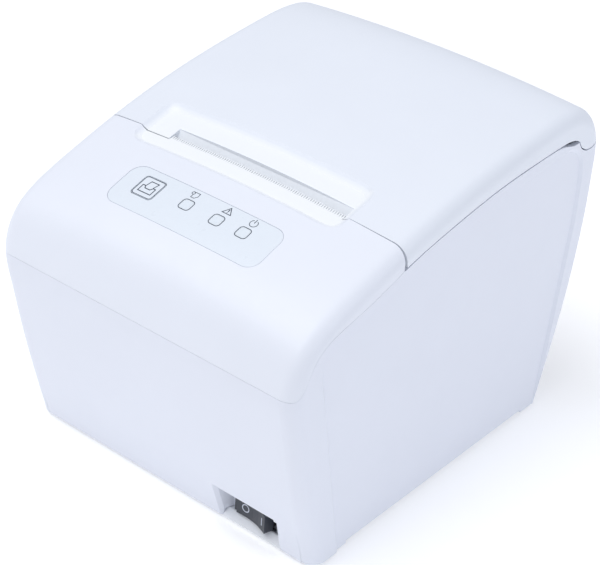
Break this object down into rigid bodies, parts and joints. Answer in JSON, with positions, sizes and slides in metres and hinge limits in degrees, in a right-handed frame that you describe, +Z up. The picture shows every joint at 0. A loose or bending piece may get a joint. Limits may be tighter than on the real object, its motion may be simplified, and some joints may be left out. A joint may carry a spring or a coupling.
{
  "type": "receipt printer",
  "caption": "Desktop thermal receipt printer: white rounded box with hinged roll cover, top paper slot with toothed tear bar, feed key, indicators and recessed power rocker.",
  "frame": {"origin": "centre of the footprint on the plane the feet stand on", "axes": "+Z up, front with the rocker switch faces -Y, +X to the viewer's right when facing the front"},
  "size_m": [0.14, 0.1799, 0.1357],
  "materials": {
    "shell_white": "fine satin",
    "overlay_film": "smooth film",
    "lens_clear": "clear",
    "chassis_grey": "satin",
    "black_plastic": "satin",
    "rubber_black": "matte",
    "steel": "brushed",
    "zinc": "zinc plated",
    "aluminium": "matte",
    "ceramic": "glazed",
    "gear_plastic": "natural",
    "pcb_green": "solder mask",
    "led_white": "gloss",
    "brass": "plain"
  },
  "bodies": {
    "printer": {"lower_case": "shell_white", "front_bezel": "shell_white", "base_plate": "shell_white", "rubber_feet": "rubber_black", "base_screws": "zinc", "roll_bucket": "chassis_grey", "control_overlay": "overlay_film", "control_board": "pcb_green", "tact_switch": "black_plastic", "indicator_leds": "led_white", "indicator_lenses": "lens_clear", "board_screws": "zinc", "tear_bar": "shell_white", "hinge_pins": "steel", "mech_frame": "zinc", "head_pivot_shaft": "steel", "head_springs": "steel", "gear_studs": "steel", "feed_motor": "zinc", "cutter_frame": "zinc", "cutter_motor": "zinc", "switch_housing": "black_plastic", "switch_terminals": "brass", "main_board": "pcb_green", "main_board_screws": "zinc", "board_components": "black_plastic", "io_panel": "zinc", "power_inlet": "black_plastic", "drawer_port": "black_plastic", "usb_port": "zinc", "lan_port": "zinc", "serial_port": "zinc"},
    "cover": {"roll_cover": "shell_white", "platen_bracket": "black_plastic", "platen_bushings": "black_plastic", "fixed_blade": "steel"},
    "platen": {"platen_roller": "rubber_black", "platen_shaft": "steel", "platen_gear": "gear_plastic"},
    "head": {"head_heatsink": "aluminium", "head_substrate": "ceramic"},
    "idler_upper": {"idler_gear_upper": "gear_plastic"},
    "idler_lower": {"idler_gear_lower": "gear_plastic"},
    "motor_rotor": {"motor_pinion": "brass"},
    "cutter_drive": {"cutter_shaft": "steel"},
    "cutter_rotor": {"cutter_motor_pinion": "brass"},
    "blade": {"cutter_blade": "steel"},
    "feed_key": {"feed_button": "overlay_film"},
    "rocker": {"power_rocker": "black_plastic"}
  },
  "joints": [
    {"name": "cover_hinge", "type": "hinge", "parent": "printer", "child": "cover", "pos_m": [0, 0.081, 0.1225], "axis": [-1, 0, 0], "range_deg": [0, 60]},
    {"name": "platen_spin", "type": "hinge", "parent": "cover", "child": "platen", "pos_m": [0, -0.01899, 0.09801], "axis": [1, 0, 0], "continuous": true},
    {"name": "idler_upper_spin", "type": "hinge", "parent": "printer", "child": "idler_upper", "pos_m": [0, -0.01526, 0.08224], "axis": [1, 0, 0], "continuous": true},
    {"name": "idler_lower_spin", "type": "hinge", "parent": "printer", "child": "idler_lower", "pos_m": [0, -0.0198, 0.06607], "axis": [1, 0, 0], "continuous": true},
    {"name": "motor_spin", "type": "hinge", "parent": "printer", "child": "motor_rotor", "pos_m": [0, -0.02438, 0.05563], "axis": [1, 0, 0], "continuous": true},
    {"name": "head_tilt", "type": "hinge", "parent": "printer", "child": "head", "pos_m": [0, -0.02601, 0.07991], "axis": [1, 0, 0], "range_deg": [0, 1.5], "stiffness_Nm_per_rad": 1, "springref_deg": -8.59, "deforming": ["head_springs"]},
    {"name": "cutter_spin", "type": "hinge", "parent": "printer", "child": "cutter_drive", "pos_m": [0, -0.04181, 0.09891], "axis": [-1, 0, 0], "range_deg": [0, 70]},
    {"name": "cutter_motor_spin", "type": "hinge", "parent": "printer", "child": "cutter_rotor", "pos_m": [0, -0.05183, 0.09232], "axis": [-1, 0, 0], "range_deg": [-170, 1]},
    {"name": "blade_slide", "type": "slide", "parent": "printer", "child": "blade", "axis": [0, 0.9732, 0.23], "range_m": [0, 0.005]},
    {"name": "feed_press", "type": "slide", "parent": "printer", "child": "feed_key", "axis": [0, 0.3045, -0.9525], "range_m": [0, 0.0006], "stiffness_N_per_m": 400, "springref_m": -0.0008},
    {"name": "rocker_tilt", "type": "hinge", "parent": "printer", "child": "rocker", "pos_m": [0.0404, -0.0646, 0.0089], "axis": [0, 0, 1], "range_deg": [0, 18]}
  ],
  "couplings": [
    {"joint": "idler_upper_spin", "follows": "platen_spin", "ratio": -0.8},
    {"joint": "idler_lower_spin", "follows": "platen_spin", "ratio": 0.92308},
    {"joint": "motor_spin", "follows": "platen_spin", "ratio": -2},
    {"joint": "blade_slide", "follows": "cutter_spin", "m_per_rad": 0.004},
    {"joint": "cutter_motor_spin", "follows": "cutter_spin", "ratio": -2.3333}
  ]
}
